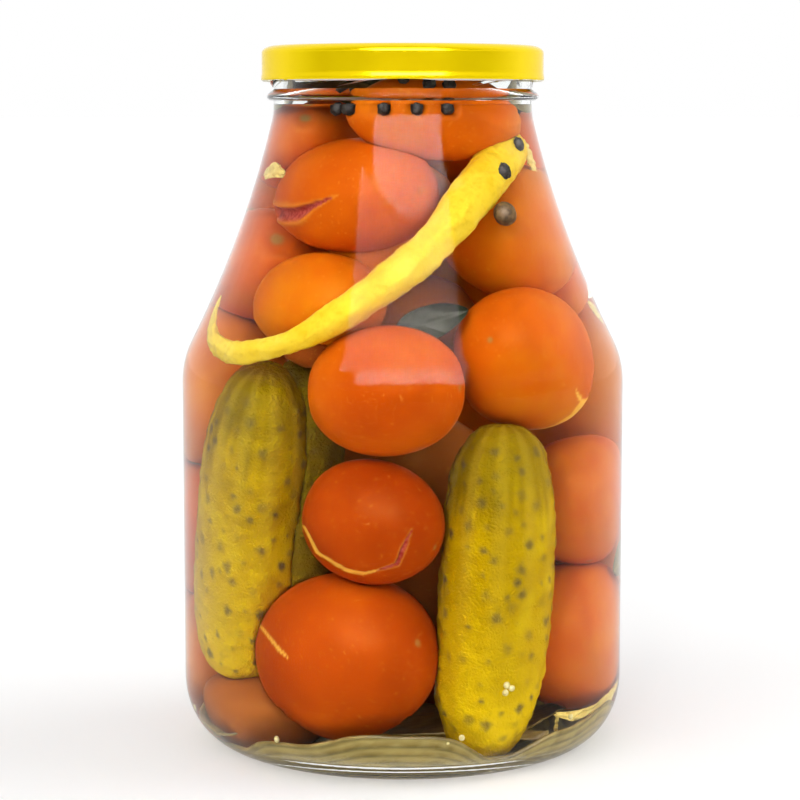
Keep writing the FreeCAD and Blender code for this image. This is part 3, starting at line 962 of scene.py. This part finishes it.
def broad_leaf(rows=64, sides=200, thick=0.35):
    """A large soft leaf that lines the jar's floor and turns up at the wall, in metres."""
    outline = [(r, float(floor_height(r))) for r in np.linspace(0, CROWN_EDGE, 40)]
    outline += [(float(bore_radius(h)), h) for h in np.linspace(FLOOR_LEVEL, FLOOR_LEVEL + 14 * MM, 60)[1:]]
    outline = np.array(outline)
    run, slope = ahead_along(outline)
    turns = 2 * np.pi * np.arange(sides) / sides
    edge = leaf_reach(turns, run[-1] - 8 * MM, random.Random(57))
    shares = np.linspace(0.01, 1, rows) ** 0.5
    along = np.clip(shares[:, None] * edge[None, :], 0, run[-1])
    radius, height, lean_r, lean_z = (np.interp(along, run, values) for values in (*outline.T, *slope.T))
    x, y = radius * np.cos(turns), radius * np.sin(turns)
    turned_up = along > CROWN_EDGE
    across = np.abs(y + 4 * MM)
    slant = (x - 1.2 * across) / (7.5 * MM)
    fine = stripes(3 * slant + y / (9 * MM), 0.16)
    uneven = 0.5 * MM * np.sin(4 * turns + 1) + 0.4 * MM * np.sin(11 * turns)
    folded = (edge[None, :] - along + uneven) / (3.4 * MM)
    folds = stripes(folded, 0.20) * turned_up
    vein = np.max([stripes(slant, 0.09), folds, 0.45 * fine, bell(across, 1.4 * MM)], axis=0)
    flat = np.stack([x, y, height], axis=2).reshape(-1, 3)
    wrinkle = (0.45 + 0.45 * grain(flat, 7 * MM, 3) + 0.25 * grain(flat, 3 * MM, 6)).reshape(x.shape).clip(0)
    points = []
    for lift in (thick + wrinkle + 0.20 * vein, 0.3 * folds * wrinkle):
        inward = (0.2 + lift) * MM
        out = radius - lean_z * inward
        points.append(np.stack([out * np.cos(turns), out * np.sin(turns), height + lean_r * inward],
                               axis=2).reshape(-1, 3))
    shade = 0.45 * stripes(folded + 0.35, 0.16) * turned_up
    return (np.vstack(points), sheet_faces(rows, sides, closed=True), np.tile(vein.ravel(), 2),
            np.tile(shade.ravel(), 2))


def leaves():
    """Herb leaves on the base and in the neck, and the edges of leaves that show between the fruits."""
    placed = [  # length, width and curl in mm, seed, place, turn, tip, roll and how dark it is, as painted shade
        (70, 30, 2.0, 51, at(12, 10.6, 24), -14, 1, 0, 0),
        (60, 28, 2.5, 52, at(-70, 11.4, 34), 24, 3, 5, 0.1),
        (60, 26, 2.0, 53, at(80, 11.8, 34), 55, 5, -6, 0),
        (21, 10, 1.5, 55, at(11, 130.5, 39.5), 10, 20, 70, 1.0),
        (24, 11, 1.0, 56, at(90, 56.5, 60), 80, 12, 60, 0.4),
        (58, 22, 3.0, 58, at(168, 199.0, 17), -4, -2, 28, 0.5),
        (40, 17, 2.0, 59, at(-120, 197.0, 24), -14, -4, -30, 0.6),
        (38, 12, 1.0, 60, at(82, 198.6, 34), 84, 2, 76, 0.5),
        (32, 11, 1.0, 61, at(-86, 198.6, 34), -86, -3, 76, 0.5),
    ]
    bed, faces, vein, shade = broad_leaf()
    parts, veins, shades = [(bed, faces)], [vein], [shade]
    for length, width, curl, seed, place, turn, tip, roll, dark in placed:
        points, faces, vein = blade(length, width, curl, seed)
        parts.append((keep_in_jar(lay(points, place, turn, tip, roll)), faces))
        veins.append(vein)
        shades.append(np.full(len(vein), dark))
    return mesh_piece("herb_leaves", *merged(parts), leaf_material(), "leaf", vein=np.concatenate(veins),
                      dark=np.concatenate(shades))


def ribbon(line, widths, thick=0.5, columns=9):
    """A thin wavy strip that faces outwards, along a line in metres and with widths in mm."""
    rows = finer([[*spot, width] for spot, width in zip(line, widths)], 12)
    line, widths = rows[:, :3], rows[:, 3]
    for _ in range(3):
        line[1:-1] = (line[:-2] + 2 * line[1:-1] + line[2:]) / 4
    _, ahead = ahead_along(line)
    points = []
    for side in (1, -1):
        for row, (spot, way, width) in enumerate(zip(line, ahead, widths)):
            out = spot * (1, 1, 0) / max(math.hypot(spot[0], spot[1]), TINY)
            over = np.cross(way, out)
            over /= np.linalg.norm(over)
            for share in np.linspace(-0.5, 0.5, columns):
                ruffle = 0.5 * math.sin(row * 0.55 + share * 4) + 0.35 * math.sin(row * 0.21 + share * 9)
                lift = side * thick / 2 * (1.05 - 3.2 * share**2) + ruffle
                points.append(spot + (over * width * share * side + out * lift) * MM)
    count = len(points) // 2
    last = count - columns
    faces = []
    for a in range(0, last, columns):
        b = a + columns - 1
        faces.append((a + columns, a, b + count, b + columns + count))
        faces.append((b, b + columns, a + columns + count, a + count))
        for low in [*range(a, b), *range(a + count, b + count)]:
            faces.append((low, low + columns, low + columns + 1, low + 1))
    ends = [[*range(a, a + columns), *range(a + count, a + columns + count)] for a in (0, last)]
    return np.array(points), [*faces, ends[0], ends[1][::-1]]


def skin_scraps(made):
    """Loose scraps of pale pepper skin: by the neck, on the right shoulder and on the base."""
    runs = [
        ([at(86, 172, 33.0), at(85, 177, 31.5), at(83, 182.5, 29.8)], [2.5, 5.0, 2.5]),
        ([at(-64, 173, 35.0), at(-72, 174.5, 36.0), at(-80, 172.5, 37.0)], [2.0, 5.0, 3.0]),
        ([at(79, 134, 52.5), at(83, 131, 54.0), at(87, 127, 55.5)], [2.0, 4.5, 2.0]),
        ([at(46, 17.5, 59.0), at(54, 15.6, 58.6), at(64, 15.8, 59.4), at(75, 17.0, 60.3), at(84, 19.0, 60.9)],
         [1.0, 2.6, 1.8, 3.0, 1.2]),
        ([at(47, 17.0, 58.6), at(49, 12.0, 55.5), at(50, 9.5, 51.5)], [0.7, 0.9, 0.5]),
    ]
    strips = [ribbon(line, widths) for line, widths in runs]
    points, faces = merged([(keep_in_jar(points), faces) for points, faces in strips])
    return mesh_piece("skin_scraps", points, faces, made, "hot_pepper_skin", tip=np.zeros(len(points)),
                      cream=np.full(len(points), 0.45))


# ---------------------------------------------------------------- the heap


def front_fruits():
    """The tomatoes and gherkins in front, each at a listed place."""
    placed = {  # angle, height and half sizes in mm, lean, dip, inset in mm and ripeness
        "tomato_high_left": (-31.5, 166.5, (17.6, 18.5, 23.9), 188, 12, 0, 0.45),
        "tomato_top": (24, 191.0, (14.0, 13.5, 26.0), -4, 0, 0, 0.35),
        "tomato_behind_pepper": (-40, 134.0, (15.5, 16.0, 20.0), 186, 10, 4.0, 0.25),
        "tomato_centre": (-5.5, 112.7, (18.0, 17.4, 21.5), 186, 14, 0, 0.5),
        "tomato_right": (51, 120.0, (19.5, 18.5, 23.0), -18, 16, 0, 0.3),
        "tomato_middle": (-9.6, 75.9, (18.3, 17.6, 19.8), 160, 16, 0, 0.95),
        "tomato_low": (-21.5, 35.5, (24.0, 23.0, 26.0), 195, 18, 0, 0.7),
        "tomato_neck_left": (-98, 181.0, (15.0, 15.0, 19.0), 30, 0, 0, 0.4),
        "tomato_shoulder_right": (83, 153.0, (19.0, 19.0, 22.5), 60, 20, 0, 0.12),
        "tomato_side_middle": (79, 77.0, (18.5, 18.5, 20.0), 70, 15, 0, 0.32),
    }
    fruits = {}
    for seed, (name, (angle, height, half, lean, dip, inset, ripe)) in enumerate(placed.items(), 1):
        fruits[name] = against_wall(angle, height, half, lean, dip, inset, seed=seed, ripe=ripe)
    # Painted shade: this low tomato lies in shadow, so it is darkest ripe and browned all over
    fruits["tomato_low_left"] = upright(at(-63, 16.0, 38), (19, 19, 10.5), seed=15, ripe=1.0, brown=0.4)
    fruits["tomato_side_low"] = against_wall(77, 36.0, (21.0, 20.0, 23.0), 80, 15, seed=11, ripe=0.25)
    fruits["gherkin_left"] = between((-70.5, 24.5, 46.5), (-51.0, 117.0, 47.0), 16.0, bend=2.0 * MM, seed=12)
    fruits["gherkin_right"] = between((29.0, 7.0, 44.0), (34.5, 103.5, 48.0), 15.6, bend=-1.5 * MM, seed=13)
    # Painted shade: this gherkin lies in shadow behind the others, so a low dull_from makes it dull all over
    # and it is darkened
    fruits["gherkin_behind"] = between((-53.5, 46.0, 33.5), (-49.0, 116.0, 32.5), 11.5, bend=1.0 * MM,
                                       seed=14, dull_from=-0.9)
    return fruits


def rear_fruits():
    """Tomatoes that fill the sides, the back and the middle, and a gherkin at the back."""
    fruits = {}
    layers = [  # angle, height in mm and size in mm
        (124, 30, 19), (170, 29, 18), (-108, 30, 19),
        (128, 70, 18.5), (172, 68, 18), (-106, 70, 18.5),
        (101, 108, 18.5), (148, 108, 18), (-155, 126, 18), (-93, 109, 19.5),
        (140, 148, 17.5), (-170, 157, 16.5), (-102, 147, 18),
        (165, 184, 15),
    ]
    for index, (angle, height, size) in enumerate(layers):
        rng = random.Random(100 + index)
        longer = rng.uniform(1.04, 1.22)
        half = (size * rng.uniform(0.94, 1.0), size * rng.uniform(0.94, 1.0), size * longer)
        fruits[f"tomato_fill_{index + 1:02d}"] = against_wall(
            angle, height, half, lean=rng.uniform(-90, 90), dip=rng.uniform(-15, 15), held=False,
            seed=200 + index)
    for index, (height, size) in enumerate([(44, 18), (86, 17), (128, 16), (160, 11)]):
        rng = random.Random(150 + index)
        # Painted shade: the core tomatoes lie in the shaded middle of the heap, so they are darkest ripe and
        # browned
        fruit = against_wall(40 * index, height, (size, size, size * 1.12), held=False, seed=250 + index,
                             ripe=1.0, brown=0.4)
        fruit.centre[:2] = (rng.uniform(-4, 4) * MM, rng.uniform(2, 8) * MM)
        fruits[f"tomato_core_{index + 1}"] = fruit
    fruits["tomato_core_5"] = upright(at(-24, 147, 17), (11, 11, 12), seed=255)
    # Painted shade: a small, dark, browned tomato that fills a shaded gap
    fruits["tomato_core_7"] = upright(at(-38, 124.5, 38), (10, 9, 8.5), seed=257, ripe=1.0, brown=0.3)
    fruits["tomato_core_6"] = upright(at(104, 133, 34), (11, 10, 12), seed=256)
    fruits["gherkin_back"] = between((-150, 20, 47), (-146, 108, 47), 13.5, held=False, seed=300)
    return fruits


def heap(pepper):
    """All the tomatoes and gherkins, settled round those in front and pressed together."""
    fruits = {**front_fruits(), **rear_fruits()}
    others = list(fruits.values())
    settle(others)
    tomato_skin, gherkin_skin = tomato_material(), gherkin_material()
    corns = [Rope(np.array([place * (1.05, 1.05, 1.0)]), np.array([(radius + 0.7) * MM]))
             for place, radius in floating_corns()]
    for name, fruit in fruits.items():
        if fruit.kind == "tomato":
            tomato(name, fruit, others, [pepper, *corns], tomato_skin, TOMATO_MARKS.get(name, ()))
        else:
            gherkin(name, fruit, others, [pepper], gherkin_skin)
    return fruits


# ---------------------------------------------------------------- surroundings

CAMERA_DISTANCE = 0.75
CAMERA_HEIGHT = 0.915 * cad_bounds[1][2]
CAMERA_TILT = 6.81
CAMERA_ASIDE = -0.0008


def add_camera():
    data = bpy.data.cameras.new("camera")
    data.lens = 110.7
    data.sensor_width = 36.0
    camera = bpy.data.objects.new("camera", data)
    camera.location = (CAMERA_ASIDE, -CAMERA_DISTANCE, CAMERA_HEIGHT)
    camera.rotation_euler = (math.radians(90 - CAMERA_TILT), 0, 0)
    bpy.context.scene.collection.objects.link(camera)
    bpy.context.scene.camera = camera


def add_sun(name, place, angle, level, glint=False):
    """A far lamp; its angle is in degrees, and its level is what it adds to a white card that faces it."""
    data = bpy.data.lights.new(name, "SUN")
    data.angle = math.radians(angle)
    data.energy = level * math.pi
    lamp = bpy.data.objects.new(name, data)
    lamp.location = place
    lamp.rotation_euler = (-lamp.location).to_track_quat("-Z", "Y").to_euler()
    lamp.visible_glossy = glint
    bpy.context.scene.collection.objects.link(lamp)


def add_world():
    """White all round, duller for lamplight.

    In mirrors it darkens towards the front, but for a band above eye level.
    """
    world = bpy.data.worlds.new("studio")
    bpy.context.scene.world = world
    nodes = Nodes(world)
    path = nodes.add("LightPath")
    through = nodes.math("ADD", path.outputs["Is Camera Ray"], path.outputs["Is Transmission Ray"],
                         clamp=True)
    way = nodes.add("SeparateXYZ", Vector=nodes.add("TexCoord").outputs["Generated"])
    front_dark = nodes.span(way.outputs["Y"], -0.35, 0.35, 0.05, 1.0)
    band_low = nodes.span(way.outputs["Z"], 0.10, 0.18, 0.0, 0.8)
    band_high = nodes.span(way.outputs["Z"], 0.34, 0.44, 1.0, 0.0)
    mirrored = nodes.math("MAXIMUM", front_dark, nodes.math("MULTIPLY", band_low, band_high))
    fill, mirror, white = (nodes.add("Background", Color=WHITE, Strength=level)
                           for level in (0.6, mirrored, 1.0))
    mixed = nodes.add("MixShader", in0=path.outputs["Is Glossy Ray"], in1=fill, in2=mirror)
    nodes.output("OutputWorld", Surface=nodes.add("MixShader", in0=through, in1=mixed, in2=white))


def stage_quad(name, corners, made):
    mesh = bpy.data.meshes.new(name)
    mesh.from_pydata([tuple(c) for c in corners], [], [(0, 1, 2, 3)])
    mesh.materials.append(made)
    quad = bpy.data.objects.new(name, mesh)
    bpy.context.scene.collection.objects.link(quad)
    return quad


def add_floor(reach=40.0, low=-0.0002):
    """A white floor that keeps the jar's shadow and glows a little, more so through the glass."""
    nodes = material("white_floor")
    path = nodes.add("LightPath")
    diffuse = nodes.add("BsdfDiffuse", Color=(0.82, 0.82, 0.82))
    seen = nodes.math("MULTIPLY", path.outputs["Is Camera Ray"], 0.24)
    through = nodes.math("MULTIPLY", path.outputs["Is Transmission Ray"], 0.85)
    glow = nodes.add("Emission", Color=WHITE, Strength=nodes.math("ADD", seen, through))
    made = nodes.output(Surface=nodes.add("AddShader", in0=diffuse, in1=glow))
    corners = ((-1, -1), (1, -1), (1, 1), (-1, 1))
    stage_quad("floor", [(x * reach, y * reach, low) for x, y in corners], made)


def window_pane(name, left, right, low, high, level, rim, away=2.0, middle=0.14):
    """A glowing card far off on the camera's side, seen only as a reflection in the glass.

    It spans angles from the front and heights in degrees, and its upright edges are brighter.
    """
    nodes = material(name)
    across = nodes.add("SeparateXYZ", Vector=nodes.add("TexCoord").outputs["Generated"])
    edge = nodes.math("ABSOLUTE", nodes.math("SUBTRACT", across.outputs["X"], 0.5))
    rise = nodes.span(edge, 0.42, 0.46, level, rim)
    fade = nodes.span(edge, 0.47, 0.50, 1.0, 0.0)
    glow = nodes.add("Emission", Color=(1.0, 0.90, 0.92), Strength=nodes.math("MULTIPLY", rise, fade))
    corners = []
    for angle, up in ((left, low), (right, low), (right, high), (left, high)):
        _, outward = around(angle)
        corners.append(outward * away * math.cos(math.radians(up))
                       + UP * (middle + away * math.sin(math.radians(up))))
    card = stage_quad(name, corners, nodes.output(Surface=glow))
    card.visible_camera = False
    card.visible_diffuse = False
    card.visible_transmission = False
    card.visible_shadow = False


def main():
    dress("glass_jar", glass_material())
    dress("lid", lid_material())
    dress("seal_ring", seal_material())
    brine_piece()
    pepper, pepper_skin = hot_pepper_rope(), hot_pepper_material()
    fruits = heap(pepper)
    hot_pepper(pepper, pepper_skin)
    skin_scraps(pepper_skin)
    loose_spices(fruits["tomato_top"])
    leaves()
    window_pane("window_tall", -36, 38, 29.6, 56, 22.0, 42.0)
    window_pane("window_low", -25, 34, 15.5, 31.5, 62.0, 62.0)
    add_camera()
    add_world()
    add_sun("key", (-0.45, -0.6, 0.75), 50, 0.28)
    add_sun("right", (0.95, 0.05, 0.5), 50, 0.40)
    add_sun("glint", (-0.25, -0.9, 0.55), 7, 0.08, glint=True)
    add_floor()
    scene = bpy.context.scene
    scene.view_settings.view_transform = "Standard"
    scene.cycles.caustics_refractive = True
    scene.cycles.caustics_reflective = False
    scene.cycles.max_bounces = 24
    scene.cycles.transmission_bounces = 20
    scene.cycles.transparent_max_bounces = 24


main()
